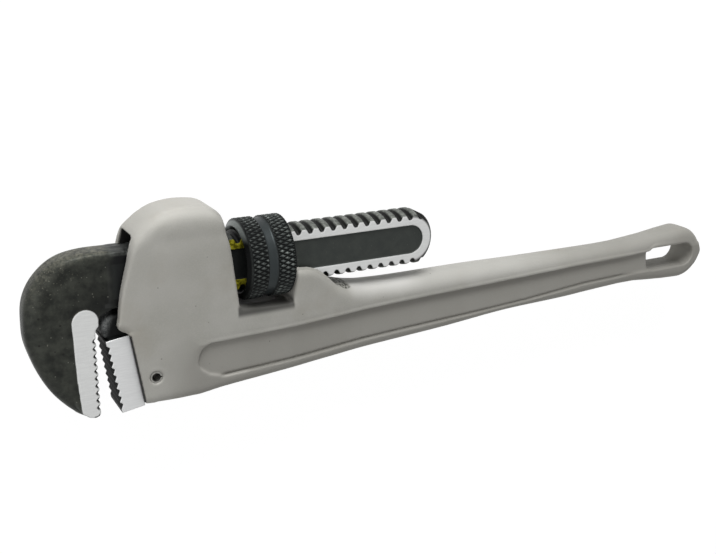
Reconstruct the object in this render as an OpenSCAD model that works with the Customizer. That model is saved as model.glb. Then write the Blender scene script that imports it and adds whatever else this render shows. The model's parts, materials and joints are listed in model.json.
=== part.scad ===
// Straight pipe wrench: forged handle with housing, sliding hook jaw,
// pinned heel jaw, adjusting nut and the sprung leaf that steadies the shank.
// Millimetres. Working frame: x runs along the shank towards the grip's end,
// with 0 just short of the nut's inner face; y = 0, z = 0 is the thread's centre line.

/* [Thread] */
// Distance from one thread to the next
thread_pitch = 4.7; // [4.3:0.1:5.2]
// Outer radius of the shank's thread
thread_r = 11; // [10.6:0.1:11.4]
// Depth of the thread
thread_depth = 1.4; // [1.1:0.1:1.6]
// Clearance between the nut's thread and the shank's, all round
thread_gap = 0.28; // [0.22:0.02:0.34]

/* [Shank and hook jaw] */
// Thickness of the shank over its two ground sides
shank_t = 11.8; // [11:0.1:12.4]
// Where the shank's outer end stands in the closed position, along x
shank_out = 63.4; // [60:0.2:67]
// Rounding of the shank's end towards its ground sides
shank_end_r = 1.5; // [0.8:0.1:2]
// Half height of the sunk panel in the shank's sides
shank_panel_r = 5.6; // [4.6:0.1:6.2]
// Depth of the sunk panel
shank_panel_d = 0.6; // [0.3:0.1:1]
// Length of the toothed edge of the hook jaw
hook_tooth_len = 27.8; // [24:0.2:31]
// Depth from the thread's centre line to the first hook tooth
hook_tooth_y = 17; // [16:0.1:18.2]
// Thickness of the hook from its teeth to its back
hook_back = 22.6; // [21:0.1:25]
// Height of the ground strip over the hook's forged side
hook_land = 0.3; // [0.15:0.05:0.5]
// Width of the ground strip along the hook's teeth
hook_land_w = 7; // [6:0.1:8]
// Depth of the hook's teeth
hook_tooth_d = 0.9; // [0.5:0.1:1]
// Thickness of the hook along the edge of its back
hook_rim_t = 6.2; // [5.6:0.1:8]

/* [Heel jaw] */
// Length of the heel jaw's toothed face
heel_len = 27.3; // [24:0.1:29]
// Thickness of the toothed block, front to back of the mouth
heel_w = 8.2; // [7:0.1:9.4]
// Thickness of the toothed block along z
heel_t = 14.6; // [13.4:0.1:15.6]
// Depth of the heel jaw's teeth
heel_tooth_d = 1; // [0.7:0.1:1.2]
// Distance from one tooth to the next on both jaws
tooth_pitch = 2.7; // [2.4:0.1:3]
// Lean of the heel jaw's face from square
heel_lean = 8.6; // [7:0.2:10]
// Length of the heel jaw's tongue in its slot
tongue_len = 9.2; // [8:0.1:10]
// Clearance round the tongue in its slot
tongue_gap = 0.2; // [0.1:0.05:0.3]
// Gap at the top of the mouth between the two jaws when closed
mouth_gap = 2.9; // [2.4:0.1:5]
// Outer radius of the spring pin
pin_r = 2.15; // [1.8:0.05:2.4]
// Wall of the spring pin
pin_wall = 0.6; // [0.4:0.05:0.8]
// Clearance of the spring pin in its holes
pin_gap = 0.03; // [0.01:0.01:0.08]

/* [Nut] */
// Outer radius over the knurled bands
nut_r = 14.8; // [14.2:0.1:15.4]
// Length of the outer knurled band
band_a = 6.4; // [5.6:0.05:7.1]
// Length of the smooth groove between the bands
band_gap = 3.5; // [2.8:0.1:4.2]
// Length of the inner knurled band
band_b = 7.1; // [6.2:0.1:7.8]
// Where the nut's inner face stands, along x
nut_end = 1.55; // [1:0.05:2]
// Depth of the smooth groove
groove_d = 0.7; // [0.4:0.1:1]
// Length of the smooth cone at the nut's front end
cone_len = 1.2; // [0.9:0.1:2]
// Radius of the cone's small end
cone_r = 12.6; // [12.1:0.1:13.4]
// Play of the nut at the window's front wall
nut_play = 2.2; // [1.8:0.1:2.6]
// Play of the nut at the window's rear wall
nut_rear_gap = 0.4; // [0.35:0.05:0.7]

/* [Handle] */
// Thickness of the housing across its cheeks
housing_t = 22; // [21:0.1:24]
// Thickness of the grip
grip_t = 15; // [13.5:0.1:16.5]
// Height of the dome over the thread's centre line
dome_h = 23.7; // [23:0.1:26]
// Depth of the housing's lower edge under the thread's centre line
housing_drop = 45.6; // [44.6:0.1:48]
// Distance from the nut's inner face to the grip's end
grip_len = 209.3; // [195:0.5:230]
// Radius of the grip's rounded end
end_r = 11.6; // [10.8:0.1:12.6]
// Rounding of the grip's edges
edge_r = 3; // [2.4:0.1:3.4]
// Rounding of the dome's edges
dome_edge_r = 6; // [5:0.1:6.6]
// Rounding of the grip's upper edges
grip_top_r = 6.2; // [5:0.1:6.6]
// Depth of the sunk panel in the grip's sides, under its upper edge
panel_d = 1.9; // [1.2:0.1:2.6]
// Depth of the sunk panel along its lower edge
panel_low_d = 0.6; // [0.3:0.1:1]
// Width of the hanging slot
slot_w = 10.3; // [9:0.1:11.5]
// Length of the hanging slot
slot_len = 27; // [20:0.5:32]
// Metal between the hanging slot and the grip's end
slot_wall = 5; // [4.4:0.1:6.5]
// Side clearance of the shank in its channel
channel_gap = 0.4; // [0.3:0.05:0.6]
// Room over the shank in which the hook jaw rocks
rock_room = 5.1; // [4.7:0.1:5.4]
// Lean of the window's walls from square
window_lean = 6.9; // [6:0.1:8]

/* [Springs] */
// Thickness of the leaf spring
leaf_t = 0.8; // [0.6:0.1:1]
// Width of the leaf spring
leaf_w = 8; // [7:0.1:8.4]
// Length of the leaf spring
leaf_len = 18; // [15:0.5:19]
// Gap between the leaf and the thread's crests
leaf_gap = 0.3; // [0.25:0.05:0.4]
// Mean radius of the coil spring
coil_r = 2.9; // [2.6:0.05:3]
// Wire thickness of the coil spring
coil_wire = 0.9; // [0.7:0.05:1]
// Turns of the coil spring
coil_turns = 5; // [4:0.5:5.5]
// Clearance of the coil spring in its bore
coil_gap = 0.4; // [0.3:0.05:0.6]
// Length of the coil spring as fitted
coil_len = 8.6; // [8:0.1:9]

/* [Hidden] */
$fn = 96;
far = 200;          // reach of the cutters past the metal

// ---- sizes that follow from the ones above
root_r = thread_r - thread_depth;
hs = shank_t / 2;
hc = hs + channel_gap;
nut_len = band_b + band_gap + band_a + cone_len;
nut_front = nut_end - nut_len;
floor_y = -nut_r;                           // window floor at the cheeks
relief_r = nut_r + 1.5;                     // pocket round the nut
win_back = nut_end + nut_rear_gap;
win_front = nut_front - nut_play;
hh = housing_t / 2;
hg = grip_t / 2;
groove_y = -(thread_r + 2.4);               // groove for the shank in the hump
// heel jaw: upper front corner, and the directions down and back
entry_x = -62.7;                            // front of the housing
heel_top_y = -(thread_r + 9.2);
heel_x = entry_x - 3.4;
dn = [sin(heel_lean), -cos(heel_lean)];
bk = [cos(heel_lean), sin(heel_lean)];
heel_tl = [heel_x, heel_top_y];
heel_tr = heel_tl + heel_w * bk;
heel_br = heel_tr + heel_len * dn;
heel_bl = heel_tl + heel_len * dn;
ht = hc - tongue_gap;                       // half thickness of tongue and nose
pin_down = 17.1;                            // of the pin, from the block's upper corner
pin_in = 5.3;
pin_at = heel_tr + pin_down*dn + pin_in*bk;
slot_lo = heel_tr + (heel_len - 3.4) * dn;
// hook jaw
hook_x = heel_x - mouth_gap;
hook_tip_y = -(hook_tooth_y + hook_tooth_len + 3);
// grip end
end_x = grip_len - end_r;
end_y = -24.9;
slot_x2 = grip_len - slot_wall;
slot_y = end_y - 0.4;
// row frame: centre of the outline's box, lowest point at z = 0
x_lo = hook_x - hook_back;
y_lo = hook_tip_y;
// coil spring in its bore
coil_x = entry_x + 28.7;
leaf_y = thread_r + leaf_gap;
coil_top = leaf_y + leaf_t + coil_len + 0.15;
shift = [-(x_lo + grip_len) / 2, -(y_lo + dome_h) / 2, nut_r];

// ---- curves
function slope(t, i) = i <= 0 || i >= len(t) - 1 ? 0
    : let (a = (t[i][1] - t[i-1][1]) / (t[i][0] - t[i-1][0]),
           b = (t[i+1][1] - t[i][1]) / (t[i+1][0] - t[i][0]))
      a * b <= 0 ? 0 : 2 * a * b / (a + b);
function seg(t, x, i = 0) = i >= len(t) - 2 || x < t[i+1][0] ? i : seg(t, x, i + 1);
function curve(t, x) = x <= t[0][0] ? t[0][1] : x >= t[len(t)-1][0] ? t[len(t)-1][1]
    : let (i = seg(t, x), w = t[i+1][0] - t[i][0], u = (x - t[i][0]) / w,
           a = t[i][1], b = t[i+1][1], m = slope(t, i) * w, n = slope(t, i + 1) * w)
      (2*u*u*u - 3*u*u + 1) * a + (u*u*u - 2*u*u + u) * m
      + (3*u*u - 2*u*u*u) * b + (u*u*u - u*u) * n;
// point on a smooth line through four points
function spl(p, q, r, s, u) = 0.5 * ((2*q) + (r - p)*u + (2*p - 5*q + 4*r - s)*u*u
    + (3*q - p - 3*r + s)*u*u*u);
function smooth(p, n) = [for (i = [0:len(p)-2], j = [0:n-1])
    spl(p[max(i-1, 0)], p[i], p[i+1], p[min(i+2, len(p)-1)], j / n), ];
function arc(c, r, a, b, n) = [for (i = [0:n]) c + r * [cos(a + (b-a)*i/n), sin(a + (b-a)*i/n)]];

// ---- handle outline: height of the top and bottom edges, half thickness
hump_y = -3.9;                              // hump behind the window
grip_y = -15.5;                             // upper edge of the grip
grip_lo = -housing_drop + 6.5;              // lower edge where the grip starts
roof_x = entry_x + 13;                      // where the flat roof over the shank ends
front_x = entry_x + 0.6;                    // where the housing's front edge starts
top_t = [[front_x, -14.5], [entry_x + 2, -5.5], [entry_x + 4.2, 3.4],
    [entry_x + 6.1, 10.4], [entry_x + 7.4, dome_h - 8.8], [entry_x + 10.7, dome_h - 5.2],
    [entry_x + 14.5, dome_h - 2.6], [entry_x + 19, dome_h - 0.8],
    [entry_x + 25.5, dome_h], [entry_x + 29, dome_h - 0.15], [entry_x + 33.6, dome_h - 0.8],
    [entry_x + 37.7, dome_h - 2.1], [entry_x + 40.4, dome_h - 5], [win_front + 4, -2],
    [0, hump_y + 0.3], [5, hump_y], [10, hump_y - 0.6], [15, hump_y - 3.3],
    [21.5, -12.8], [27, -14.4], [34.5, grip_y + 0.4], [51, grip_y], [75, grip_y],
    [115, grip_y - 0.6], [grip_len - 54, grip_y - 0.9], [grip_len - 31, grip_y + 0.6],
    [end_x - 3, end_y + end_r - 0.1], [end_x, end_y + end_r]];
bot_t = [[front_x, -15.5], [entry_x + 1.3, -17], [entry_x + 3.8, -18.4],
    [heel_tr[0] - 0.4, -18.6], [heel_tr[0] + 0.6, -housing_drop + 0.6],
    [-44, -housing_drop], [-36.7, -housing_drop + 0.1], [-25.6, -housing_drop + 1.4],
    [-10.7, -housing_drop + 2.5], [9.7, -housing_drop + 3.8],
    [23, -housing_drop + 4.3], [69, grip_lo], [104, grip_lo + 2.5],
    [129, grip_lo + 3], [grip_len - 60, grip_lo + 4], [grip_len - 42, grip_lo + 4.6],
    [grip_len - 27, grip_lo + 3.5], [end_x, end_y - end_r]];
half_t = [[front_x, hh - 1.6], [entry_x + 12, hh - 0.6], [-35, hh - 0.1], [-20, hh],
    [0, hh - 0.2], [15, hh - 1.4], [35, hg + 0.3], [52, hg], [grip_len - 20, hg - 0.3],
    [grip_len, hg - 0.5]];
rt_t = [[front_x, 2], [entry_x + 5, 3.4], [entry_x + 12, dome_edge_r],
    [-30, dome_edge_r], [-22, 3], [0, 2.2], [14, 2.4], [24, 4.2], [38, grip_top_r],
    [grip_len - 30, grip_top_r], [end_x, edge_r + 1.5], [grip_len, edge_r]];

function cap(x) = x <= end_x ? 0 : end_r - sqrt(max(0, end_r*end_r - (x-end_x)*(x-end_x)));
function top_y(x) = curve(top_t, x) - cap(x);
function bot_y(x) = curve(bot_t, x) + cap(x);
function half_z(x) = curve(half_t, x);
function ring(x) = let (a = top_y(x), b = bot_y(x), h = half_z(x),
        m = min((a - b) * 0.48, h * 0.9), r = min(curve(rt_t, x), m), s = min(edge_r, m))
    concat(
        [for (i = [0:5]) [x, a - r + r*sin(90*i/5), h - r + r*cos(90*i/5)]],
        [for (i = [0:5]) [x, a - r + r*cos(90*i/5), -h + r - r*sin(90*i/5)]],
        [for (i = [0:3]) [x, b + s - s*sin(90*i/3), -h + s - s*cos(90*i/3)]],
        [for (i = [0:3]) [x, b + s - s*cos(90*i/3), h - s + s*sin(90*i/3)]]);
station = concat(
    [for (i = [0:13]) front_x + (entry_x + 13.3 - front_x)*pow(i/14, 1.3)],
    [for (i = [0:11]) entry_x + 13.3 + (win_front - 1 - entry_x - 13.3)*i/12],
    [for (i = [0:5]) win_front - 1 + (1 - win_front)*i/6],
    [for (i = [0:11]) 3*i], [for (i = [0:17]) 36 + (end_x - 36)*i/18],
    [for (i = [0:9]) end_x + end_r*sin(9.6*i)*0.999]);

// tube through a list of equal rings, closed at both ends
module loft(rings) {
    n = len(rings[0]);
    k = len(rings);
    polyhedron(points = [for (r = rings, p = r) p],
        faces = concat([[for (i = [n-1:-1:0]) i]], [[for (i = [0:n-1]) (k-1)*n + i]],
            [for (j = [0:k-2], i = [0:n-1], s = [0, 1]) let (a = j*n + i, b = j*n + (i+1)%n)
                s == 0 ? [a, b, a + n] : [b, b + n, a + n]]), convexity = 10);
}

module along_x(x0, x1) {
    translate([x0, 0, 0]) rotate([90, 0, 90]) linear_extrude(x1 - x0) children();
}

// what the shank's channel leaves free, seen along the shank
module channel_2d(roof_y) {
    intersection() {
        union() {
            circle(r = thread_r + 0.35);
            translate([rock_room - 1, 0]) circle(r = thread_r + 1);
            translate([0, -thread_r - 0.35]) square([rock_room - 1, 2*(thread_r + 0.35)]);
        }
        translate([roof_y - far, -hc]) square([far, 2*hc]);
    }
}

// sunk panel of the grip, seen from the side
panel_top = [[-30, -25.9], [2.8, -25.3], [22, -25.1], [66, -23.9], [95, -23.3],
    [136, -22.3], [163, -22], [slot_x2 - slot_w/2, slot_y + slot_w/2]];
panel_bot = [[-26, -39], [88, -34.6], [111, -33.4], [142, -30.9], [167, -30.3],
    [slot_x2 - slot_w/2, slot_y - slot_w/2]];
function panel_line() = concat(smooth([[-31, -37.5], [-34.4, -34.5], [-34.8, -31],
    [-33.2, -27.6], [-30, -25.9]], 4), panel_top,
    [for (i = [len(panel_bot)-1:-1:0]) panel_bot[i]]);
function web_z(x) = half_z(x) - panel_d * (x < -10 ? 0.75 : x < 30 ? 0.75 + 0.25*(x+10)/40 : 1);

module panel_cut() {
    xs = [for (i = [0:24]) -40 + i * (slot_x2 + 40) / 24];
    rings = [for (x = xs) let (a = curve(panel_top, x), b = curve(panel_bot, x),
            lo = half_z(x) - panel_low_d, rise = (lo - web_z(x)) / (a - b))
        [[x, b - 2, far], [x, a + 2, far], [x, a + 2, web_z(x) - 2*rise],
         [x, b - 2, lo + 2*rise]]];
    for (s = [0, 1]) mirror([0, 0, s]) intersection() {
        linear_extrude(far) polygon(panel_line());
        loft(rings);
    }
}

module pin_hole(g) {
    translate([pin_at[0], pin_at[1], -far/2]) cylinder(r = pin_r + g, h = far);
}

module window_cut() {
    l = tan(window_lean);
    linear_extrude(far, center = true) polygon([[win_front, floor_y + 1], [win_front, floor_y],
        [win_back, floor_y - 1.2], [win_back + 40*l, floor_y + 38.8],
        [win_back + 40*l, floor_y + 60], [win_front - 60*l, floor_y + 60]]);
    along_x(win_front, win_back) circle(r = relief_r);
}

// slot for the heel jaw's tongue and nose, and the plane its block rests on
module heel_seat() {
    back = tongue_len + tongue_gap;
    linear_extrude(far, center = true) polygon([heel_tr + [0, 0.5] - 20*bk,
        heel_tr + [0, 0.5], heel_tr + 60*dn, heel_tr + 60*dn - 20*bk]);
    linear_extrude(2*hc, center = true) polygon([heel_tr - 20*bk - 12*dn,
        heel_tr + back*bk - 12*dn, slot_lo + back*bk, slot_lo - 20*bk]);
}

module handle() {
    color("silver") translate(shift) difference() {
        loft([for (x = station) ring(x)]);
        along_x(entry_x - 20, roof_x + 0.1) channel_2d(thread_r + rock_room - 1);
        along_x(roof_x, win_front + 3) channel_2d(far / 2);
        along_x(0, 60) translate([groove_y, -hc]) square([far, 2*hc]);
        window_cut();
        heel_seat();
        panel_cut();
        pin_hole(pin_gap);
        translate([0, 0, -far/2]) linear_extrude(far) slot_2d();
        translate([coil_x, thread_r, 0]) rotate([-90, 0, 0])
            cylinder(r = coil_r + coil_wire/2 + coil_gap, h = coil_top - thread_r);
    }
}

// hanging slot: round at its outer end, rounded corners at the other
module slot_2d() {
    r = slot_w / 2;
    c = slot_w * 0.3;
    x1 = slot_x2 - slot_len + c;
    polygon(concat(arc([slot_x2 - r, slot_y], r, 90, -90, 24),
        arc([x1, slot_y - r + c], c, -90, -180, 10), arc([x1, slot_y + r - c], c, 180, 90, 10)));
}

// ---- thread of the shank: height of the surface over the thread's root line
turn = 1;                                    // right-hand thread
thread_x0 = hook_x + 8.9;                     // hidden start of the thread
steps = [0.11, 0.31, 0.69, 0.89];            // corners of one thread, in pitches
n_turns = ceil((shank_out - thread_x0) / thread_pitch) + 2;

function shank_ring(i) = let (k = floor(i / 4), f = steps[i % 4],
        r = (i % 4 == 1 || i % 4 == 2) ? thread_r : root_r, am = asin(hs / r))
    concat([for (j = [-3:3]) let (a = -am * j / 3)
            [thread_x0 + (k + f + turn*a/360) * thread_pitch, r*cos(a), r*sin(a)]],
        [for (j = [-3:3]) let (a = 180 - am * j / 3)
            [thread_x0 + (k + f + turn*a/360) * thread_pitch, r*cos(a), r*sin(a)]]);

// rounded end of the shank, drawn in by d: full height inside, rounder at the ground sides
end_l = 9.5;
end_x0 = shank_out - end_l;
function end_line(d) = let (a = end_l - d, b = thread_r - 2*d)
    [for (i = [0:32]) [end_x0 + a*cos(84 - 5.25*i), b*sin(84 - 5.25*i)]];

module shank() {
    far_y = thread_r + 1;
    difference() {
        intersection() {
            loft([for (i = [0:4*n_turns - 1]) shank_ring(i)]);
            linear_extrude(far, center = true) polygon(concat([[thread_x0 + 3.58, -far_y],
                [thread_x0 + 3.58, far_y], [end_x0, far_y]], end_line(0), [[end_x0, -far_y]]));
        }
        for (s = [0, 1]) mirror([0, 0, s]) {
            translate([0, 0, hs - shank_panel_d]) linear_extrude(2) panel_2d();
            for (k = [0.55, 0.17]) translate([0, 0, hs - k*shank_end_r])
                linear_extrude(2) polygon(concat([[end_x0, far_y]],
                    end_line(shank_end_r * (1 - sqrt(1 - (1-k)*(1-k)))), [[end_x0, -far_y],
                    [shank_out + 1, -far_y], [shank_out + 1, far_y]]));
        }
    }
}

// sunk panel of the shank, from inside the housing to near its end
module panel_2d() {
    x2 = shank_out - shank_end_r - 3 - shank_panel_r;
    polygon(concat([[hook_x + 14, -shank_panel_r], [hook_x + 14, shank_panel_r]],
        arc([x2, 0], shank_panel_r, 90, -90, 32)));
}

// outline of the hook: its back, its tip and its throat; the teeth are on the strip
hb = hook_back;
hy = hook_tooth_y;
tip = hook_tip_y;
back_line = smooth([[hook_x + 12, thread_r - 0.55], [hook_x + 7, thread_r - 0.45],
    [hook_x + 2.5, thread_r - 0.35],
    [hook_x - 2.7, thread_r - 0.45], [hook_x - 7.7, thread_r - 1.1],
    [hook_x - 11.9, thread_r - 2.7], [hook_x - hb + 7.2, thread_r - 5.2],
    [hook_x - hb + 3.9, 2.2], [hook_x - hb + 1.65, -1.8], [hook_x - hb + 0.4, -6.2],
    [hook_x - hb, -12.1], [hook_x - hb + 0.1, -17.5], [hook_x - hb + 1.45, tip + 24.5],
    [hook_x - hb + 3.8, tip + 17.6], [hook_x - hb + 7.3, tip + 10.8],
    [hook_x - hb + 11.7, tip + 5.2], [hook_x - hb + 15.7, tip + 1.7],
    [hook_x - 3.5, tip + 0.3]], 4);
throat_line = concat([[hook_x - 2.4, tip + 0.7], [hook_x - 2.2, tip + 1.2],
    [hook_x - 2.2, -hy + 1], [hook_x + 0.9, -hy + 2.9]],
    smooth([[hook_x + 1.15, -hy + 3.4], [hook_x + 2, -thread_r - 0.6],
        [hook_x + 4, -thread_r + 0.55], [hook_x + 6, -thread_r + 1.3]], 4),
    [[hook_x + 6, -thread_r + 1.3]]);
neck_r = thread_r - 0.25;                    // plain neck between hook and thread
neck_x1 = hook_x + 3.5;
neck_x2 = thread_x0 + 5.78;

// ground strip along the teeth, with its round top
n_teeth = floor(hook_tooth_len / tooth_pitch);
function notch(x, y, d) = [[x, y + tooth_pitch*0.32], [x - d, y], [x, y - tooth_pitch*0.32]];
tooth_line = [for (i = [n_teeth - 1:-1:0], k = [2:-1:0])
    notch(hook_x, -hy - 2.8 - i*tooth_pitch, hook_tooth_d)[k]];
land_r = hook_land_w / 2 + 0.9;
strip_line = concat([[hook_x - hook_land_w - 0.1, (tip - hy)/2],
        [hook_x - hook_land_w + 0.8, tip + 2.2], [hook_x - 3.5, tip + 0.3],
        [hook_x - 1.7, tip], [hook_x - 0.5, tip + 0.5], [hook_x, tip + 1.4]], tooth_line,
    [[hook_x, -hy], [hook_x + 0.3, -hy + 1.2], [hook_x + 1.3, -hy + 2.4]],
    arc([hook_x - 3.1, -hy + 4.3], land_r, 0, 180, 20));

module hook_jaw() {
    zf = hs - hook_land;                     // half thickness of the forged sides
    zr = hook_rim_t / 2;                     // and at the edge of the back
    n = len(back_line);
    // the outline, its back drawn in by d, less so towards the neck and the tip
    function drawn(d) = concat([for (i = [0:n-1]) let (a = back_line[max(i-1, 0)],
            b = back_line[min(i+1, n-1)], t = (b - a) / norm(b - a),
            share = min(1, (n-1-i)/8, max(0.15, (i-8)/16)))
            back_line[i] + d * share * [-t[1], t[0]]], throat_line);
    color("dimgray") translate(shift) union() {
        for (k = [[0, 0], [0.3, 0.35], [0.55, 0.9], [0.78, 1.7], [1, 2.9]])
            linear_extrude(2*(zr + (zf - zr)*k[0]), center = true) polygon(drawn(k[1]));
        linear_extrude(2*hs, center = true) polygon(strip_line);
        along_x(neck_x1, neck_x2) intersection() {
            polygon(arc([0, 0], neck_r, 0, 345, 23));
            square([far, 2*hs - hook_land], center = true);
        }
        shank();
    }
}

// toothed block, tongue and nose in one piece
heel_n = floor((heel_len - 1.5) / tooth_pitch);
heel_front = [for (i = [0:heel_n - 1], k = [0:2]) heel_tl
    + (1.6 + i*tooth_pitch + [0, 0.35, 0.98][k]*tooth_pitch) * dn
    + [0, heel_tooth_d, 0.05][k] * bk];

module heel_jaw() {
    top = -thread_r - 0.4;
    nose = smooth([heel_tl + [-0.6, 1.5], heel_tl + [-0.95, 3.6], heel_tl + [-0.5, 5.6],
        heel_tl + [0.7, 7.5], [heel_x + 2.4, top]], 5);
    color("gainsboro") translate(shift) difference() {
        union() {
            linear_extrude(heel_t, center = true)
                polygon(concat([heel_tr, heel_br, heel_bl], [for (i = [len(heel_front)-1:-1:0])
                    heel_front[i]], [heel_tl]));
            linear_extrude(2*ht, center = true) polygon(concat(nose,
                [heel_tr + tongue_len*bk + (top - heel_tr[1] - tongue_len*bk[1]) / dn[1] * dn,
                 slot_lo + tongue_len*bk + tongue_gap*-dn, slot_lo - 2*bk - tongue_gap*dn,
                 heel_tl + 4*dn + 3*bk, heel_tl + 1.6*bk]));
        }
        pin_hole(pin_gap);
    }
}

module heel_jaw_pin() {
    l = 2 * half_z(pin_at[0]) - 0.8;
    color("darkgray") translate(shift) translate([pin_at[0], pin_at[1], 0]) difference() {
        cylinder(r = pin_r, h = l, center = true);
        cylinder(r = pin_r - pin_wall, h = l + 1, center = true);
        translate([pin_r, 0, 0]) cube([2*pin_r, 0.5, l + 1], center = true);
    }
}

module nut_thread() {
    p = thread_pitch;
    g = thread_gap;
    r1 = root_r + g;
    r2 = thread_r + g + 0.3;
    function half_w(r) = 0.11*p + (r - root_r)/thread_depth * 0.2*p - g*1.15;
    n = 30;
    x0 = thread_x0 + floor((nut_front - thread_x0) / p) * p;
    turns = ceil(nut_len / p) + 2;
    rings = [for (i = [0:n*turns]) let (a = turn*360*i/n, x = x0 + p*i/n)
        [for (q = [[-1, r1], [-1, r2], [1, r2], [1, r1]])
            [x + q[0]*half_w(q[1]), q[1]*cos(a), q[1]*sin(a)]]];
    intersection() {
        loft(rings);
        along_x(nut_front + 3, nut_end - 0.8) circle(r = thread_r + 5);
    }
}

module adjusting_nut() {
    b = thread_r + thread_gap;
    a1 = -band_b;
    a2 = a1 - band_gap;
    a3 = a2 - band_a;
    color("slategray") translate(shift) union() {
        translate([nut_end, 0, 0]) rotate([0, 90, 0]) rotate_extrude() polygon([
            [b + 0.8, 0], [nut_r - 0.7, 0], [nut_r, -0.7], [nut_r, a1 + 0.3],
            [nut_r - groove_d, a1], [nut_r - groove_d, a2], [nut_r, a2 - 0.3],
            [nut_r, a3 + 0.4], [nut_r - 0.9, a3], [cone_r, -nut_len],
            [max(cone_r - 0.6, b + 0.1), -nut_len], [b, -nut_len + 2.4], [b, -0.8]]);
        nut_thread();
    }
}

module flat_spring() {
    color("steelblue") translate(shift) {
        translate([coil_x - leaf_len/2, leaf_y, -leaf_w/2]) cube([leaf_len, leaf_t, leaf_w]);
        translate([coil_x, leaf_y + leaf_t/2, 0]) rotate([-90, 0, 0])
            cylinder(r = coil_r - coil_wire/2 - 0.35, h = leaf_t/2 + 1);
    }
}

module coil_spring() {
    w = coil_wire / 2;
    y0 = leaf_y + leaf_t + 0.05 + w;
    y1 = y0 + coil_len - 2*w;
    n = 20;
    k = round(n * coil_turns);
    m = 10;
    color("goldenrod") translate(shift) loft([for (i = [0:k]) let (a = 360*i/n)
        [for (j = [0:m-1]) let (b = -360*j/m, r = coil_r + w*cos(b))
            [coil_x + r*cos(a), y0 + (y1 - y0)*i/k + w*sin(b), r*sin(a)]]]);
}

handle();
hook_jaw();
heel_jaw();
heel_jaw_pin();
adjusting_nut();
flat_spring();
coil_spring();
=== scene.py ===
import json
import math
import bpy
import numpy as np
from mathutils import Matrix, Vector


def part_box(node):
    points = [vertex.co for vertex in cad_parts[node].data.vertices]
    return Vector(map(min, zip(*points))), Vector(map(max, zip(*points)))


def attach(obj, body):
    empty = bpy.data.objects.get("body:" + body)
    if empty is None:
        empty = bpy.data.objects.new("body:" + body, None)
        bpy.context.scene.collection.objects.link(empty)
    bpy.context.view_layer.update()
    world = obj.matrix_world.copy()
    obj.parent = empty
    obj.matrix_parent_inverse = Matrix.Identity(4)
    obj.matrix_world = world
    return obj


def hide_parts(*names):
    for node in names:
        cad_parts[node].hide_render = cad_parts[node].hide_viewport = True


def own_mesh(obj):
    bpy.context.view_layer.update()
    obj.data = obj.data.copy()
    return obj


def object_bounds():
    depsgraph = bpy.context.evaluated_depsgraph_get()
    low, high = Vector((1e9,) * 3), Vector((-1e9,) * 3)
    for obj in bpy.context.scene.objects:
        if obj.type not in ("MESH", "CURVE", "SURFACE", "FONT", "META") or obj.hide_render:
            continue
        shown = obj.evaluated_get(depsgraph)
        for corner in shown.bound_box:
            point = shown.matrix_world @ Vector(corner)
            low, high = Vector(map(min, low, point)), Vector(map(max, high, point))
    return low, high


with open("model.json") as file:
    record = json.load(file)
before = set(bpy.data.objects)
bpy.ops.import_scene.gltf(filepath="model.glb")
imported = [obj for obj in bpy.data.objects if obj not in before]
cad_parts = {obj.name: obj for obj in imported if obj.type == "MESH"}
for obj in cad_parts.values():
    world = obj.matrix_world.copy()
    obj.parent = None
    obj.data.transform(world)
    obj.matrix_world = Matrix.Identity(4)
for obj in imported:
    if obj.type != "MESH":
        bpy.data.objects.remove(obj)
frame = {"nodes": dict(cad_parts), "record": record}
import openvdb as vdb
from mathutils import Matrix, Vector

# Pipe wrench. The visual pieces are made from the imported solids: each solid becomes a
# distance grid, its edges are rounded as forging, casting or grinding leaves them, and the
# surface is taken off the grid again. Grids are in millimetres in the part's working frame,
# where x runs along the shank, with the nut's inner face at NUT_END, and y, z start at its
# centre line.
CAD_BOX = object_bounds()
MM = 0.001


def corner(node, i):
    return np.array(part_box(node)[i]) / MM


# ---- the working frame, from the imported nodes' boxes
NUT_LO, NUT_HI = corner("adjusting_nut", 0), corner("adjusting_nut", 1)
NUT_END = 1.55
ORIGIN = np.array([NUT_HI[0] - NUT_END, (NUT_LO[1] + NUT_HI[1]) / 2, (NUT_LO[2] + NUT_HI[2]) / 2])
NUT_R = (NUT_HI[2] - NUT_LO[2]) / 2
THREAD_R = 11.0
NUT_LEN = NUT_HI[0] - NUT_LO[0]
HOOK_LO = corner("hook_jaw", 0) - ORIGIN
HOOK_HI = corner("hook_jaw", 1) - ORIGIN
HALF_SHANK = HOOK_HI[2]
PIN = (corner("heel_jaw_pin", 0) + corner("heel_jaw_pin", 1)) / 2 - ORIGIN


def node_mesh(name):
    """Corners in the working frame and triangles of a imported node."""
    me = frame["nodes"][name].data
    co = np.empty(len(me.vertices) * 3, np.float32)
    me.vertices.foreach_get("co", co)
    me.calc_loop_triangles()
    tri = np.empty(len(me.loop_triangles) * 3, np.int32)
    me.loop_triangles.foreach_get("vertices", tri)
    return co.reshape(-1, 3) / MM - ORIGIN.astype(np.float32), tri.reshape(-1, 3)


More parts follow.
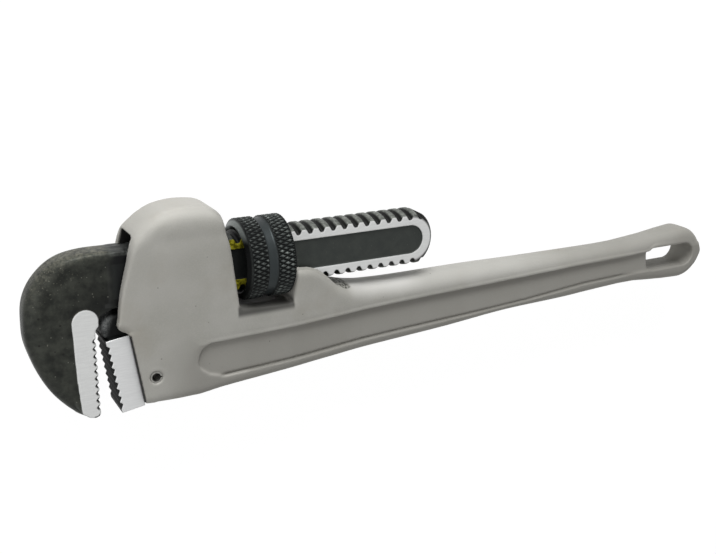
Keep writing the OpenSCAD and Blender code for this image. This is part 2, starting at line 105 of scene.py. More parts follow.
class Grid:
    """A distance field: negative inside, in millimetres."""

    def __init__(self, name, step, reach):
        co, tri = node_mesh(name)
        t = vdb.createLinearTransform(voxelSize=step)
        g = vdb.FloatGrid.createLevelSetFromPolygons(
            co.astype(np.float64), triangles=tri, transform=t, halfWidth=reach / step)
        lo, hi = g.evalActiveVoxelBoundingBox()
        self.lo = np.array(lo)
        self.step = step
        self.a = np.empty([int(h - l + 1) for l, h in zip(lo, hi)], np.float32)
        g.copyToArray(self.a, ijk=tuple(int(v) for v in lo))

    def axes(self):
        """x, y and z of the grid's points, ready to broadcast."""
        c = [(self.lo[i] + np.arange(self.a.shape[i])) * self.step for i in range(3)]
        return (c[0][:, None, None].astype(np.float32), c[1][None, :, None].astype(np.float32),
                c[2][None, None, :].astype(np.float32))

    def blurred(self, width):
        """The field smoothed over that many millimetres: it rounds edges and fills corners."""
        s = width / self.step
        n = max(1, int(math.ceil(2.5 * s)))
        w = np.exp(-0.5 * (np.arange(-n, n + 1) / s) ** 2)
        w /= w.sum()
        out = self.a
        for ax in range(3):
            p = np.pad(out, [(n, n) if i == ax else (0, 0) for i in range(3)], mode="edge")
            acc = np.zeros_like(out)
            for k in range(2 * n + 1):
                sl = [slice(None)] * 3
                sl[ax] = slice(k, k + out.shape[ax])
                acc += np.float32(w[k]) * p[tuple(sl)]
            out = acc
        return out

    def sample(self, field, co):
        """field at points of the working frame."""
        q = co / self.step - self.lo
        q = np.clip(q, 0, np.array(self.a.shape) - 1.001)
        i = q.astype(int)
        f = q - i
        v = 0
        for dx in (0, 1):
            for dy in (0, 1):
                for dz in (0, 1):
                    w = ((f[:, 0] if dx else 1 - f[:, 0]) * (f[:, 1] if dy else 1 - f[:, 1])
                         * (f[:, 2] if dz else 1 - f[:, 2]))
                    v = v + w * field[i[:, 0] + dx, i[:, 1] + dy, i[:, 2] + dz]
        return v

    def skin(self):
        """The surface's points and four-sided faces."""
        g = vdb.FloatGrid(float(abs(self.a).max()))
        g.copyFromArray(self.a, ijk=tuple(int(v) for v in self.lo))
        g.transform = vdb.createLinearTransform(voxelSize=self.step)
        co, quads = g.convertToQuads(isovalue=0)
        return co.astype(np.float64), quads


def smooth(lo, hi, v):
    t = np.clip((v - lo) / (hi - lo), 0, 1)
    return t * t * (3 - 2 * t)


def piece(name, co, faces, node, masks=None):
    """A new piece that stands for a node and rides on its body; the node is hidden."""
    me = bpy.data.meshes.new(name)
    me.from_pydata([], [], [])
    me.vertices.add(len(co))
    me.vertices.foreach_set("co", ((co + ORIGIN) * MM).astype(np.float32).ravel())
    n = faces.shape[1]
    me.loops.add(len(faces) * n)
    me.loops.foreach_set("vertex_index", faces[:, ::-1].astype(np.int32).ravel())
    me.polygons.add(len(faces))
    me.polygons.foreach_set("loop_start", np.arange(0, len(faces) * n, n, dtype=np.int32))
    me.polygons.foreach_set("use_smooth", np.ones(len(faces), bool))
    for key, v in (masks or {}).items():
        me.attributes.new(key, "FLOAT", "POINT").data.foreach_set(
            "value", np.asarray(v, np.float32).ravel())
    me.update(calc_edges=True)
    me.validate()
    o = bpy.data.objects.new(name, me)
    bpy.context.scene.collection.objects.link(o)
    body = [b for b, ns in frame["record"]["behaviour"]["bodies"].items() if node in ns][0]
    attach(o, body)
    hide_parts(node)
    return o


# ---- materials: small steps that build node trees; coordinates are the row frame's, in metres
class Finish:
    def __init__(self, name):
        self.mat = bpy.data.materials.new(name)
        self.mat.use_nodes = True
        self.nt = self.mat.node_tree
        self.nt.nodes.clear()
        self.out = self.nt.nodes.new("ShaderNodeOutputMaterial")
        self.bsdf = self.nt.nodes.new("ShaderNodeBsdfPrincipled")
        self.nt.links.new(self.bsdf.outputs[0], self.out.inputs[0])
        self.co = self.nt.nodes.new("ShaderNodeTexCoord").outputs["Object"]

    def put(self, socket, v):
        if isinstance(v, bpy.types.NodeSocket):
            self.nt.links.new(v, socket)
        elif isinstance(v, (tuple, list)) and len(socket.default_value) == 4 and len(v) == 3:
            socket.default_value = (*v, 1)
        else:
            socket.default_value = v

    def set(self, **values):
        """Sets the shader's sockets, such as Base_Color=..."""
        for k, v in values.items():
            self.put(self.bsdf.inputs[k.replace("_", " ")], v)

    def math(self, op, *args):
        n = self.nt.nodes.new("ShaderNodeMath")
        n.operation = op
        for i, v in enumerate(args):
            self.put(n.inputs[i], v)
        return n.outputs[0]

    def attr(self, name):
        n = self.nt.nodes.new("ShaderNodeAttribute")
        n.attribute_name = name
        return n.outputs["Fac"]

    def stretch(self, sx, sy, sz):
        n = self.nt.nodes.new("ShaderNodeMapping")
        self.put(n.inputs["Vector"], self.co)
        n.inputs["Scale"].default_value = (sx, sy, sz)
        return n.outputs[0]

    def noise(self, size, detail=3.0, rough=0.55, co=None):
        """Noise whose lumps are about size millimetres."""
        n = self.nt.nodes.new("ShaderNodeTexNoise")
        self.put(n.inputs["Vector"], co or self.co)
        n.inputs["Scale"].default_value = 1 / (size * MM)
        n.inputs["Detail"].default_value = detail
        n.inputs["Roughness"].default_value = rough
        return n.outputs["Fac"]

    def cells(self, size):
        """Distance to the nearest of points about size millimetres apart, and its own number."""
        n = self.nt.nodes.new("ShaderNodeTexVoronoi")
        self.put(n.inputs["Vector"], self.co)
        n.inputs["Scale"].default_value = 1 / (size * MM)
        sep = self.nt.nodes.new("ShaderNodeSeparateColor")
        self.nt.links.new(n.outputs["Color"], sep.inputs[0])
        return n.outputs["Distance"], sep.outputs[0]

    def ramp(self, v, lo, hi, a=0.0, b=1.0):
        n = self.nt.nodes.new("ShaderNodeMapRange")
        n.interpolation_type = "SMOOTHSTEP"
        self.put(n.inputs["Value"], v)
        for k, x in (("From Min", lo), ("From Max", hi), ("To Min", a), ("To Max", b)):
            self.put(n.inputs[k], x)
        return n.outputs["Result"]

    def mix(self, f, a, b):
        """Colour a where f is 0, b where it is 1."""
        n = self.nt.nodes.new("ShaderNodeMix")
        n.data_type = "RGBA"
        self.put(n.inputs["Factor"], f)
        self.put(n.inputs[6], a)
        self.put(n.inputs[7], b)
        return n.outputs[2]

    def wash(self, base, mask, share, colour):
        """base under a share of a colour, where a mask, by name or as a socket, is 1."""
        m = self.attr(mask) if isinstance(mask, str) else mask
        return self.mix(self.math("MULTIPLY", m, share), base, srgb(*colour))

    def specks(self, size, dot, share):
        """1 on small round specks, on that share of cells of size millimetres."""
        d, own = self.cells(size)
        near = self.ramp(d, dot, dot * 0.55)
        return self.math("MULTIPLY", near, self.math("LESS_THAN", own, share))

    def bump(self, height, depth, strength=1.0, base=None):
        """Surface relief; depth in millimetres."""
        n = self.nt.nodes.new("ShaderNodeBump")
        n.inputs["Strength"].default_value = strength
        n.inputs["Distance"].default_value = depth * MM
        self.put(n.inputs["Height"], height)
        if base:
            self.nt.links.new(base, n.inputs["Normal"])
        self.nt.links.new(n.outputs[0], self.bsdf.inputs["Normal"])
        return n.outputs[0]

    def on(self, obj):
        obj.data.materials.clear()
        obj.data.materials.append(self.mat)


def srgb(r, g, b):
    """A colour as 0 to 255 values, as the shader wants it."""
    return tuple(((v / 255 + 0.055) / 1.055) ** 2.4 if v > 10 else v / 255 / 12.92
                 for v in (r, g, b))


# ---- handle: blasted aluminium casting
# upper and lower line of the panel sunk in the grip's sides, and the hanging slot's middle
PANEL_TOP = ((-30, -25.9), (22, -25.1), (66, -23.9), (95, -23.3), (136, -22.3), (163, -22))
PANEL_LOW = ((-26, -39), (88, -34.6), (111, -33.4), (142, -30.9), (167, -30.3))
SLOT_X, SLOT_Y, SLOT_LEN, SLOT_R = 190.8, -25.3, 27.0, 5.15
# the housing's front edge, as y, x, and the plane the heel jaw's block rests on, as a point
# and the way it faces
FRONT = ((-14.5, -62.1), (-5.5, -60.7), (3.4, -58.5), (10.4, -56.6), (14.9, -55.3), (18.5, -52))
SEAT = (-57.99, -18.97, 0.9888, 0.1495)
SHOULDER = (-24.1, 20.7, 0.78, 0.63)         # the dome's rear shoulder, in the same way
SHOULDER_CUT = 0.35                          # how much lower that shoulder is
SHOULDER_BLEND = 3                           # and how softly it runs into the dome
ARCH_Y, ARCH_R, ARCH_TOP = 4.1, 12.0, 15.1   # the arch over the shank: centre, radius, flat top
SOFT, MIDDLE, CRISP, DOME = 1.1, 0.7, 0.3, 2.0   # widths that round the edges, mm
SEAM_WIDTH, SEAM_SHADE = 0.5, 0.42           # of the line along the panel: its cut, and the width of the painted shade in it


def off_plane(plane, x, y):
    """How far x, y lies in front of a plane given as a point and the way it faces."""
    return (x - plane[0]) * plane[2] + (y - plane[1]) * plane[3]


def along(line, x):
    return np.interp(x, [p[0] for p in line], [p[1] for p in line]).astype(np.float32)


def upward(grid, co, d=0.4):
    """How far the surface faces up the picture, +y, from 0 to 1."""
    step = np.array([0, d, 0])
    rise = grid.sample(grid.a, co + step) - grid.sample(grid.a, co - step)
    return np.clip(rise / (2 * d), 0, 1)


def handle_grid():
    g = Grid("handle", step=0.4, reach=3.2)
    x, y, z = g.axes()
    soft = g.blurred(SOFT)
    middle = g.blurred(MIDDLE)
    crisp = g.blurred(CRISP)
    widest = g.blurred(DOME)
    top, low = along(PANEL_TOP, x), along(PANEL_LOW, x)
    grip = smooth(-36.5, -35, x)
    panel = grip * smooth(top + 1.8, top + 1.0, y)
    flange = panel * smooth(low - 0.6, low - 1.6, y)
    slot = np.hypot(np.maximum(np.abs(x - SLOT_X) - SLOT_LEN / 2 + SLOT_R, 0), y - SLOT_Y) - SLOT_R
    pin = np.hypot(x - PIN[0], y - PIN[1])
    window = smooth(-22.5, -21, x) * smooth(3, 1.5, x) * smooth(-19.5, -18, y)
    a = soft + (middle - soft) * np.maximum(window, flange)
    dome = smooth(8, 14, y) * smooth(4, 9, x - along(FRONT, y))
    a = a + (widest - a) * 0.8 * dome
    # the machined places keep crisp edges: the shank's channel and groove, and the jaw's seat
    channel = smooth(8.0, 7.0, np.abs(z)) * smooth(-17.5, -14.5, y)
    keep = np.maximum(panel * (1 - flange), channel)
    keep = np.maximum(keep, np.maximum(smooth(2.2, 1.2, slot), smooth(4.5, 3.5, pin)))
    seat = off_plane(SEAT, x, y)
    keep = np.maximum(keep, smooth(4.5, 3, seat) * smooth(-17, -18.5, y))
    keep = np.maximum(keep, 0.85 * smooth(4.5, 2.5, x - along(FRONT, y)))
    a = a + (crisp - a) * keep
    # the front lip over the shank is sharp
    lip = (smooth(4, 2.5, x - along(FRONT, y)) * smooth(9, 8, np.abs(z)) * smooth(7, 9, y)
           * smooth(19, 17.5, y))
    a = a + (g.a - a) * lip
    # the dome's rear shoulder is rounder
    cut = off_plane(SHOULDER, x, y) + SHOULDER_CUT
    cut = np.where((x < -15) & (y > 5), cut, -9)   # only behind and above the housing
    blend = np.maximum(SHOULDER_BLEND - np.abs(a - cut), 0) / SHOULDER_BLEND
    a = np.maximum(a, cut) + blend * blend * SHOULDER_BLEND / 4
    # a fine seam along the panel's lower line
    seam = smooth(-28, -24, x) * smooth(170, 160, x) * smooth(4, 5, np.abs(z))
    g.a = a + seam * (0.6 - 0.001 * x) * np.exp(-((y - low - 0.2) / SEAM_WIDTH) ** 2)
    return g, widest


g, wide = handle_grid()
co, quads = g.skin()
turn = g.sample(wide, co)
seam = (smooth(-28, -24, co[:, 0]) * smooth(175, 160, co[:, 0]) * smooth(4, 5, np.abs(co[:, 2]))
        * np.exp(-((co[:, 1] - along(PANEL_LOW, co[:, 0]) - 0.2) / SEAM_SHADE) ** 2))
below = co[:, 1] - along(PANEL_TOP, co[:, 0])
fade = 0.3 + 9 * smooth(-34, -38, co[:, 0])
arch = np.minimum(ARCH_Y + np.sqrt(np.maximum(ARCH_R ** 2 - co[:, 2] ** 2, 0)), ARCH_TOP)
seat = off_plane(SEAT, co[:, 0], co[:, 1])
# painted shade inside the arch over the shank, and a line of painted shadow at the jaw's seat
bore = (smooth(0.1, 1.2, co[:, 0] - along(FRONT, co[:, 1])) * smooth(-18, -20, co[:, 0])
        * smooth(0.25, 0.1, co[:, 1] - arch) * smooth(-14, -13, co[:, 1])
        * smooth(6.55, 6.4, np.abs(co[:, 2])))
bore = np.maximum(bore, smooth(0.3, 0.1, seat) * smooth(-18.4, -19, co[:, 1]))
handle = piece("handle_casting", co, quads, "handle",
               {"edge": np.clip(turn / 0.9, 0, 1), "hollow_shade": np.clip(-turn / 0.9, 0, 1),
                "seam": seam, "bore": bore, "milled": smooth(17, 18.5, co[:, 0])
                * smooth(28, 27, co[:, 0]) * smooth(7.3, 6.9, np.abs(co[:, 2]))
                * smooth(-15.5, -15, co[:, 1]),
                "lit_crown": smooth(30, 60, co[:, 0]) * smooth(150, 90, co[:, 0])
                * smooth(-23, -18.5, co[:, 1]),
                "foot": smooth(24, 29, co[:, 0]) * smooth(64, 48, co[:, 0]) * upward(g, co)
                * smooth(0, 2, below),
                "up": smooth(-15, -18, co[:, 0]) * upward(g, co),
                "panel": smooth(-52, -33, co[:, 0]) * smooth(fade, -fade, below),
                "under": smooth(-20, 30, co[:, 0]) * smooth(175, 160, co[:, 0])
                * smooth(0.2, -0.4, below) * smooth(-5, -1, below),
                "far": smooth(100, 165, co[:, 0]),
                "pit": smooth(-18.8, -16.6, co[:, 1]) * smooth(-13, -15, co[:, 1])
                * smooth(-20.2, -19.4, co[:, 0]) * smooth(2.6, 1.9, co[:, 0])})

f = Finish("blasted_aluminium")
lumps = f.noise(14, 4, 0.5)
grain = f.noise(0.5, 2, 0.6)
tone = f.mix(f.ramp(lumps, 0.3, 0.7), srgb(170, 169, 162), srgb(180, 179, 173))
tone = f.mix(f.ramp(grain, 0.3, 0.8, 0.0, 0.35), tone, srgb(196, 194, 188))
tone = f.mix(f.ramp(f.noise(22, 5, 0.6), 0.5, 0.75, 0.0, 0.4), tone, srgb(160, 153, 140))
# painted highlight: lighter along the rounded edges
tone = f.wash(tone, "edge", 0.1, (206, 203, 196))
# painted light: the grip's top lighter
tone = f.wash(tone, "lit_crown", 0.5, (206, 205, 200))
tone = f.wash(tone, "panel", 0.8, (149, 147, 141))
# painted shade: a darker band just under the panel's upper line
tone = f.wash(tone, "under", 0.3, (120, 118, 112))
tone = f.wash(tone, "far", 0.5, (152, 150, 144))
# painted light: the top behind the shank lighter, against the shank's shade
tone = f.wash(tone, "foot", 0.6, (244, 243, 240))
# painted light: up-facing surfaces of the housing lighter
tone = f.wash(tone, "up", 0.5, (202, 200, 194))
# painted shadow on the window's floor under the nut
tone = f.wash(tone, "pit", 0.85, (52, 52, 49))
# painted shade: darker in the casting's hollows
tone = f.wash(tone, "hollow_shade", 0.45, (120, 117, 110))
# painted shade in the seam along the panel
tone = f.wash(tone, "seam", 0.6, (84, 82, 76))
ribbed = f.mix(f.ramp(f.noise(0.9, 2), 0.4, 0.6), srgb(62, 62, 58), srgb(168, 167, 160))
tone = f.mix(f.attr("milled"), tone, ribbed)
# painted shade in the arch over the shank and at the seat
tone = f.mix(f.attr("bore"), tone, srgb(24, 23, 21))
tone = f.wash(tone, f.specks(4.5, 0.075, 0.35), 0.45, (70, 67, 60))
f.set(Base_Color=tone, Metallic=0.2, Roughness=f.ramp(grain, 0.2, 0.8, 0.6, 0.72),
      Specular_IOR_Level=0.35)
f.bump(grain, 0.05, 0.6, f.bump(lumps, 0.25, 0.5))
f.on(handle)


# ---- hook jaw: dark forging with ground strips
HOOK_BACK = 22.6
TEETH_X = HOOK_LO[0] + HOOK_BACK             # tips of the hook's teeth
STRIP_WIDTH = 7.1
STRIP_X = TEETH_X - STRIP_WIDTH              # back edge of the ground strip along them
END_R, END_L = 1.5, 9.5                      # rounding and length of the shank's end
FLANK_R, CREST_R = 10.3, 10.9                # where the thread's crests start to shine


def hook_grid():
    g = Grid("hook_jaw", step=0.23, reach=2.6)
    x, y, z = g.axes()
    soft = g.blurred(0.9)
    crisp = g.blurred(0.12)
    wide = g.blurred(1.0)
    near = smooth(STRIP_X - 1.6, STRIP_X - 0.8, x) * smooth(-6.5, -7.5, y)
    thread = smooth(TEETH_X + 6, TEETH_X + 9, x)
    keep = np.maximum(near, thread)
    g.a = soft + (crisp - soft) * keep
    # the shank's end rounds over towards its two ground sides
    over = np.clip((np.abs(z) - HALF_SHANK) / END_R + 1, 0, 1)
    drawn = END_R * (1 - np.sqrt(1 - over * over))
    ax, ay = END_L - drawn, THREAD_R - 2 * drawn
    dx = np.maximum(x - HOOK_HI[0] + END_L, 0)
    end = (np.sqrt((dx / ax) ** 2 + (y / ay) ** 2) - 1) * np.minimum(ax, ay)
    g.a = np.where(dx > 0, np.maximum(g.a, end), g.a)
    return g, wide


g, wide = hook_grid()
co, quads = g.skin()
turn = g.sample(wide, co)
flat = smooth(HALF_SHANK - 0.16, HALF_SHANK - 0.06, np.abs(co[:, 2]))
inside = -g.sample(g.a, co * [1, 1, 0])      # how deep in the hook's outline, seen square on
# painted shade: near black round the notches between the teeth
notch = (smooth(0.6, 0.4, inside) * smooth(TEETH_X - 0.3, TEETH_X - 0.5, co[:, 0])
         * smooth(TEETH_X - 2.4, TEETH_X - 2.2, co[:, 0]) * smooth(-15, -16, co[:, 1]))
hook = piece("hook_jaw_forging", co, quads, "hook_jaw", {
    "ground": flat * (1 - notch) * (1 - smooth(TEETH_X + 5, TEETH_X + 7, co[:, 0])
                                    * smooth(-38, -42, co[:, 0])), "notch": notch,
    "edge": np.clip(turn / 0.3, 0, 1), "hollow_shade": np.clip(-turn / 0.3, 0, 1),
    "shank": smooth(TEETH_X + 6, TEETH_X + 9, co[:, 0]),
    "up": upward(g, co) * smooth(TEETH_X + 9, TEETH_X + 4, co[:, 0]),
    "shade": np.maximum(np.exp(-((co[:, 0] - TEETH_X - 4) ** 2 + (co[:, 1] + 9) ** 2) / 90),
                        0.9 * smooth(TEETH_X + 3.5, TEETH_X + 7.5, co[:, 0])
                        * smooth(9, 6, co[:, 1]) * smooth(TEETH_X + 12, TEETH_X + 10, co[:, 0])),
    "frost": np.exp(-((co[:, 0] - TEETH_X + 14) ** 2 + (co[:, 1] - 5) ** 2) / 90),
    "crest": smooth(FLANK_R, CREST_R, np.hypot(co[:, 1], co[:, 2])),
    "panel": smooth(6.3, 5.9, np.abs(co[:, 1])),
    "housed_shade": smooth(-12, -14, co[:, 0]),
    "window_yellow": smooth(-12, -14, co[:, 0]) * smooth(-27, -25, co[:, 0])})

f = Finish("dark_forging")
scale = f.noise(5, 5, 0.6)
grain = f.noise(0.6, 3, 0.6)
dark = f.mix(f.ramp(scale, 0.3, 0.7), srgb(33, 35, 32), srgb(66, 68, 62))
# painted highlight: lighter along the rounded edges
dark = f.wash(dark, "edge", 0.35, (128, 132, 126))
worn = f.ramp(f.noise(1.3, 4, 0.65), 0.35, 0.7)
# worn pattern, lighter on up-facing surfaces as painted light
dark = f.wash(dark, f.math("MULTIPLY", f.attr("up"), worn), 0.6, (136, 134, 120))
crumbs = f.ramp(f.noise(0.75, 4, 0.7), 0.58, 0.7)
dark = f.wash(dark, f.math("MULTIPLY", f.attr("frost"), crumbs), 0.8, (128, 127, 115))
dark = f.wash(dark, "shade", 0.85, (14, 15, 15))
dark = f.wash(dark, f.specks(1.6, 0.16, 0.3), 0.6, (128, 128, 118))
dark = f.wash(dark, f.specks(2.4, 0.2, 0.3), 0.7, (20, 20, 18))
# painted shade: darker in the forging's hollows
dark = f.wash(dark, "hollow_shade", 0.6, (22, 23, 22))
crest = f.mix(worn, srgb(88, 91, 87), srgb(132, 135, 130))
thread = f.mix(f.attr("crest"), srgb(26, 27, 26), crest)
dark = f.mix(f.math("MULTIPLY", f.attr("shank"), f.math("SUBTRACT", 1.0, f.attr("panel"))),
             dark, thread)
# painted shade: the shank inside the housing's window near black
housed_shade = f.math("MULTIPLY", f.attr("housed_shade"), f.attr("shank"))
smooth_panel = f.math("MULTIPLY", f.attr("panel"), f.attr("shank"))
dark = f.wash(dark, smooth_panel, 0.75, (64, 68, 66))
dark = f.wash(dark, housed_shade, 0.8, (10, 11, 13))
# painted shade in the teeth's notches
dark = f.mix(f.attr("notch"), dark, srgb(5, 5, 5))
lathe = f.noise(0.5, 3, 0.6, co=f.stretch(0.12, 1, 1))
bright = f.mix(f.ramp(lathe, 0.3, 0.7), srgb(213, 214, 213), srgb(220, 221, 220))
# yellow on the ground lands in the housing's window
yellow_tone = f.mix(f.ramp(f.noise(1.6, 3), 0.4, 0.6), srgb(92, 88, 6), srgb(164, 158, 40))
bright = f.mix(f.attr("window_yellow"), bright, yellow_tone)
ground = f.attr("ground")
f.set(Base_Color=f.mix(ground, dark, bright), Metallic=f.ramp(ground, 0, 1, 0.2, 0.5),
      Roughness=f.ramp(ground, 0, 1, 0.46, 0.5), Specular_IOR_Level=0.15)
f.bump(grain, 0.06, 0.5, f.bump(scale, 0.3, 0.5))
f.on(hook)

# ---- heel jaw: ground block, dark between its teeth
NOSE_DROP = 7.2                              # from the nose's top down to the block's
g = Grid("heel_jaw", step=0.2, reach=2.4)
x, y, z = g.axes()
soft = g.blurred(1.3)
crisp = g.blurred(0.1)
block_top = corner("heel_jaw", 1)[1] - ORIGIN[1] - NOSE_DROP
nose = smooth(block_top - 0.6, block_top + 0.6, y)
g.a = crisp - 0.07 + (soft - crisp + 0.07) * nose
co, quads = g.skin()
side = corner("heel_jaw", 1)[2] - ORIGIN[2]
heel = piece("heel_jaw_block", co, quads, "heel_jaw",
             {"ground": smooth(side - 0.25, side - 0.1, np.abs(co[:, 2])),
              "nose": smooth(block_top - 0.6, block_top + 0.6, co[:, 1]),
              "lit": smooth(TEETH_X + 6.4, TEETH_X + 2.2, co[:, 0] - 0.35 * (co[:, 1] + 14))})
f = Finish("ground_steel")
scratch = f.noise(0.35, 3, 0.6, co=f.stretch(0.08, 1, 1))
bright = f.mix(f.ramp(scratch, 0.3, 0.7), srgb(220, 221, 221), srgb(227, 228, 228))
dark = f.mix(f.ramp(f.noise(2, 4), 0.3, 0.7), srgb(6, 7, 7), srgb(17, 19, 19))
# the nose: painted light on its lit part, painted shadow where lit is 0
nose = f.mix(f.ramp(f.noise(0.45, 3), 0.35, 0.65), srgb(92, 95, 95), srgb(140, 142, 141))
nose = f.mix(f.attr("lit"), srgb(20, 21, 21), nose)
dark = f.mix(f.attr("nose"), dark, nose)
f.set(Base_Color=f.mix(f.attr("ground"), dark, bright),
      Metallic=f.ramp(f.attr("ground"), 0, 1, 0.1, 0.45),
      Specular_IOR_Level=0.06,
      Roughness=f.ramp(f.attr("ground"), 0, 1, 0.5, 0.48))
f.bump(scratch, 0.03, 0.5)
f.on(heel)

# ---- adjusting nut: a height field round the axis, with the knurl cut into its bands
KNURLS = 52
KNURL_DEPTH = 0.55
KNURL_LEAD = 0.27                            # diamonds per millimetre along the axis
KNURL_PEAK = 1.35                            # over 1 cuts flat tops on the diamonds
BAND_B, BAND_GAP, BAND_A = 7.1, 3.5, 6.4     # the two bands and the groove between them
CONE_R, BORE_R = 12.6, 11.28


def nut_mesh():
    per = 12
    th = np.arange(KNURLS * per) * 2 * np.pi / (KNURLS * per)
    a1, a2 = -BAND_B, -BAND_B - BAND_GAP
    a3 = a2 - BAND_A
    fine = 0.16
    rows = [(0.0, 11.9, 0), (0.0, NUT_R - 0.9, 0), (-0.12, NUT_R - 0.55, 0)]
    for lo, hi in ((-0.3, a1 + 0.1), (a2 - 0.1, a3 + 0.35)):
        n = int(abs(hi - lo) / fine)
        rows += [(lo + (hi - lo) * i / n, NUT_R, smooth(0, 2, min(i, n - i)) * 0.8 + 0.2)
                 for i in range(n + 1)]
        if lo == -0.3:
            rows += [(a1 - 0.05, NUT_R - 0.55, 0), (a1 - 0.25, NUT_R - 0.7, 0)]
            rows += [(a1 - 0.25 - (BAND_GAP - 0.5) * i / 6, NUT_R - 0.7, 0) for i in range(1, 7)]
            rows += [(a2 + 0.05, NUT_R - 0.55, 0)]
    rows += [(a3 + 0.1, NUT_R - 0.45, 0), (a3 - 0.1, NUT_R - 0.85, 0)]
    rows += [(a3 - 0.1 + (-NUT_LEN + 0.2 - a3 + 0.1) * i / 6,
              NUT_R - 0.85 + (CONE_R + 0.05 - NUT_R + 0.85) * i / 6, 0) for i in range(1, 7)]
    rows += [(-NUT_LEN + 0.03, CONE_R - 0.15, 0), (-NUT_LEN, CONE_R - 0.3, 0),
             (-NUT_LEN + 0.05, CONE_R - 0.5, 0)]
    rows += [(v, BORE_R, 0) for v in (-NUT_LEN + 2.4, -NUT_LEN + 6, -6.0, -0.8)]
    x = np.array([r[0] + NUT_END for r in rows])[:, None] + 0 * th[None]
    rad = np.array([r[1] for r in rows])[:, None] + 0 * th[None]
    cut = np.array([r[2] for r in rows], float)[:, None]
    u = th[None] * KNURLS / (2 * np.pi)
    t = [np.abs(2 * np.mod(u + s * x * KNURL_LEAD + 0.5, 1) - 1) for s in (-1, 1)]
    peak = np.clip(KNURL_PEAK * (1 - np.maximum(t[0], t[1])), 0, 1)
    rad = rad - KNURL_DEPTH * cut * (1 - peak)
    co = np.stack([x, rad * np.cos(th)[None], rad * np.sin(th)[None]], -1)
    m, n = x.shape
    i = np.arange(m)[:, None] * n
    j = np.arange(n)[None]
    nxt = (j + 1) % n
    a = i + j
    b = i + nxt
    c = np.roll(i, -1, 0) + nxt
    d = np.roll(i, -1, 0) + j
    quads = np.stack([a, b, c, d], -1).reshape(-1, 4)
    tip = (cut * peak + 0 * th[None]).ravel()
    band = (cut > 0) + 0 * th[None]
    return co.reshape(-1, 3), quads, tip, band.ravel()


co, quads, tip, band = nut_mesh()
u = co[:, 0] - NUT_END + BAND_B
groove = smooth(0.1, -0.2, u) * smooth(-BAND_GAP - 0.1, -BAND_GAP + 0.2, u)
cone = smooth(-BAND_GAP - BAND_A, -BAND_GAP - BAND_A - 0.2, u)
nut = piece("adjusting_nut_knurled", co, quads, "adjusting_nut",
            {"tip": tip, "band": band, "groove": groove, "cone": cone * smooth(11.5, 8, co[:, 1]),
             "glint": cone * smooth(8, 12, co[:, 1]),
             "outer": smooth(-BAND_GAP + 0.2, -BAND_GAP - 0.1, u)})
f = Finish("nut_steel")
lumps = f.noise(3, 4, 0.6)
base = f.mix(f.ramp(lumps, 0.3, 0.7), srgb(40, 43, 43), srgb(68, 71, 70))
base = f.wash(base, "groove", 0.9, (55, 60, 61))
tips = f.mix(f.ramp(f.noise(2.2, 3), 0.35, 0.65), srgb(56, 60, 59), srgb(102, 107, 104))
cut = f.mix(f.ramp(f.attr("tip"), 0.25, 1.0), srgb(19, 21, 21), tips)
base = f.mix(f.attr("band"), base, cut)
# painted shade on the band next to the housing's window
base = f.wash(base, "outer", 0.35, (20, 21, 21))
# painted shade: the front cone near black below; a painted highlight, the glint, on its top
base = f.wash(base, "cone", 0.92, (9, 10, 11))
base = f.wash(base, "glint", 0.8, (140, 146, 144))
f.set(Base_Color=base, Metallic=0.5, Roughness=0.4, Specular_IOR_Level=0.1)
f.bump(f.noise(0.4, 2), 0.03, 0.4)
f.on(nut)

# ---- coil spring: round wire, its end turns closed
WIRE_R = 0.45
TURNS, CLOSED, OPEN = 6.5, 0.9, 4.7          # in all, closed at either end, and open
CREEP = 0.075                                # share of the height that any turn takes


def coil_mesh():
    lo, hi = corner("coil_spring", 0) - ORIGIN, corner("coil_spring", 1) - ORIGIN
    cx, cz = (lo[0] + hi[0]) / 2, (lo[2] + hi[2]) / 2
    w = WIRE_R
    r = (hi[0] - lo[0]) / 2 - w
    t = np.linspace(0, TURNS, 6 * 32 + 17)
    rise = np.clip(t - CLOSED, 0, OPEN) / OPEN
    climb = 0.35 * rise * rise * (3 - 2 * rise) + 0.65 * rise
    y = lo[1] + w + (hi[1] - lo[1] - 2 * w) * (CREEP * t / TURNS + (1 - CREEP) * climb)
    a = 2 * np.pi * t
    b = np.linspace(0, 2 * np.pi, 12, endpoint=False)[None]
    rr = r + w * np.cos(b)
    co = np.stack([cx + rr * np.cos(a)[:, None], y[:, None] + w * np.sin(b) + 0 * rr,
                   cz + rr * np.sin(a)[:, None]], -1)
    n, m = co.shape[:2]
    i = np.arange(n - 1)[:, None] * m
    j = np.arange(m)[None]
    quads = np.stack([i + j, i + (j + 1) % m, i + m + (j + 1) % m, i + m + j], -1).reshape(-1, 4)
    ends = [[e + k for k in ks] for e in (0, (n - 1) * m)
            for ks in ((0, 1, 2, 3), (0, 3, 4, 11), (4, 5, 10, 11), (5, 6, 9, 10), (6, 7, 8, 9))]
    caps = np.array([q if q[0] < m else q[::-1] for q in ends])
    return co.reshape(-1, 3), np.concatenate([quads, caps[:, ::-1]])


co, quads = coil_mesh()
coil = piece("coil_spring_wire", co, quads, "coil_spring")
COIL_TOP = (corner("coil_spring", 1) + corner("coil_spring", 0)) / 2 * MM
COIL_TOP[1] = corner("coil_spring", 1)[1] * MM
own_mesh(coil)

# ---- the small parts keep their solids
for node, tone in (("heel_jaw_pin", (150, 149, 144)), ("flat_spring", (70, 74, 84)),
                   ("coil_spring", (120, 121, 122))):
    o = coil if node == "coil_spring" else frame["nodes"][node]
    f = Finish(node + "_steel")
    n = f.noise(0.8, 3, 0.6)
    f.set(Base_Color=f.mix(f.ramp(n, 0.3, 0.7), srgb(*[v * 0.85 for v in tone]), srgb(*tone)),
          Metallic=0.8, Roughness=0.38)
    f.bump(n, 0.02, 0.4)
    f.on(o)

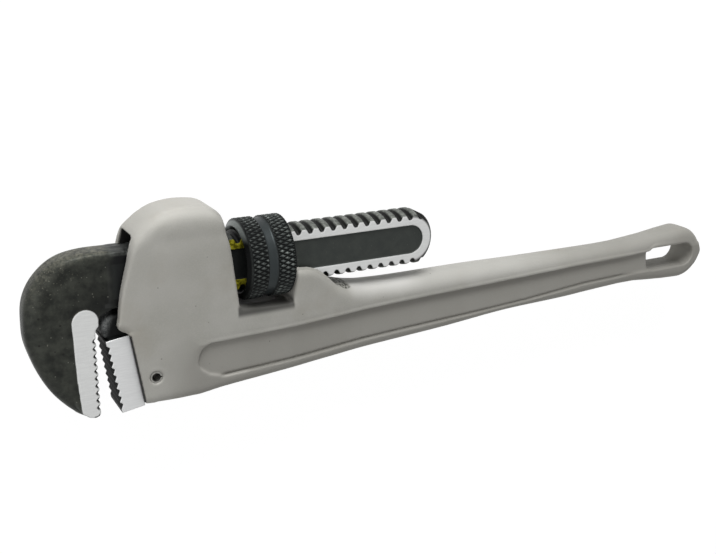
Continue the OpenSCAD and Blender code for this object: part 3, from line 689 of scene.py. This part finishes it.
# ---- floor, lights, camera
FLOOR_HALF = 4.0                             # half the floor's side, m
FLOOR_LIGHT, FLOOR_GLOW = 1.16, 0.82         # its own light, and that light's share
AMBIENT = 0.24
LENS = 51.39
YAW, PITCH, ROLL = 0.500, 0.322, 0.013       # of the camera, radians
CAMERA_AT = (-144.55, 110.17, 326.69)        # in the working frame, mm

floor_z = CAD_BOX[0][2]
me = bpy.data.meshes.new("floor")
s = FLOOR_HALF
me.from_pydata([(-s, -s, floor_z), (s, -s, floor_z), (s, s, floor_z), (-s, s, floor_z)], [],
               [(0, 1, 2, 3)])
floor = bpy.data.objects.new("floor", me)
bpy.context.scene.collection.objects.link(floor)


def seen(nt):
    """1 for rays that see the background: from the camera, in gloss and through glass."""
    lp = nt.nodes.new("ShaderNodeLightPath")
    last = lp.outputs["Is Camera Ray"]
    for k in ("Is Glossy Ray", "Is Transmission Ray"):
        m = nt.nodes.new("ShaderNodeMath")
        m.operation = "MAXIMUM"
        nt.links.new(last, m.inputs[0])
        nt.links.new(lp.outputs[k], m.inputs[1])
        last = m.outputs[0]
    return last


fm = bpy.data.materials.new("floor_white")
fm.use_nodes = True
nt = fm.node_tree
nt.nodes.clear()
out = nt.nodes.new("ShaderNodeOutputMaterial")
dif = nt.nodes.new("ShaderNodeBsdfDiffuse")
dif.inputs["Color"].default_value = (0.8, 0.8, 0.8, 1)
em = nt.nodes.new("ShaderNodeEmission")
em.inputs["Strength"].default_value = FLOOR_LIGHT
mixf = nt.nodes.new("ShaderNodeMath")
mixf.operation = "MULTIPLY"
nt.links.new(seen(nt), mixf.inputs[0])
mixf.inputs[1].default_value = FLOOR_GLOW
mx = nt.nodes.new("ShaderNodeMixShader")
nt.links.new(mixf.outputs[0], mx.inputs[0])
nt.links.new(dif.outputs[0], mx.inputs[1])
nt.links.new(em.outputs[0], mx.inputs[2])
nt.links.new(mx.outputs[0], out.inputs[0])
me.materials.append(fm)

world = bpy.data.worlds.new("studio")
bpy.context.scene.world = world
world.use_nodes = True
nt = world.node_tree
bg = nt.nodes["Background"]
bg.inputs["Color"].default_value = (1, 1, 1, 1)
w = nt.nodes.new("ShaderNodeMapRange")
nt.links.new(seen(nt), w.inputs["Value"])
w.inputs["To Min"].default_value = AMBIENT
w.inputs["To Max"].default_value = 1.0
nt.links.new(w.outputs[0], bg.inputs["Strength"])


def lamp(name, at, to, size, watts):
    l = bpy.data.lights.new(name, "AREA")
    l.shape = "DISK"
    l.size = size
    l.energy = watts
    o = bpy.data.objects.new(name, l)
    bpy.context.scene.collection.objects.link(o)
    o.location = at
    o.rotation_euler = (Vector(to) - Vector(at)).to_track_quat("-Z", "Y").to_euler()


lamp("key", (-0.1, 0.85, 0.3), (0, 0, 0), 0.5, 6)
lamp("fill", (-0.6, 0.0, 0.7), (0, 0, 0), 0.6, 1.2)

# the camera looks at the near side from the left and a little above
cam = bpy.data.cameras.new("camera")
cam.sensor_width = 36.0
cam.sensor_fit = "HORIZONTAL"
cam.lens = LENS
camera = bpy.data.objects.new("camera", cam)
bpy.context.scene.collection.objects.link(camera)
bpy.context.scene.camera = camera
fwd = Vector((math.sin(YAW) * math.cos(PITCH), -math.sin(PITCH), -math.cos(YAW) * math.cos(PITCH)))
right = fwd.cross(Vector((0, 1, 0))).normalized()
up = right.cross(fwd)
r2 = math.cos(ROLL) * right + math.sin(ROLL) * up
u2 = -math.sin(ROLL) * right + math.cos(ROLL) * up
m = Matrix((r2, u2, -fwd)).transposed().to_4x4()
m.translation = [(CAMERA_AT[i] + ORIGIN[i]) * MM for i in range(3)]
camera.matrix_world = m

scene = bpy.context.scene
scene.view_settings.view_transform = "Standard"
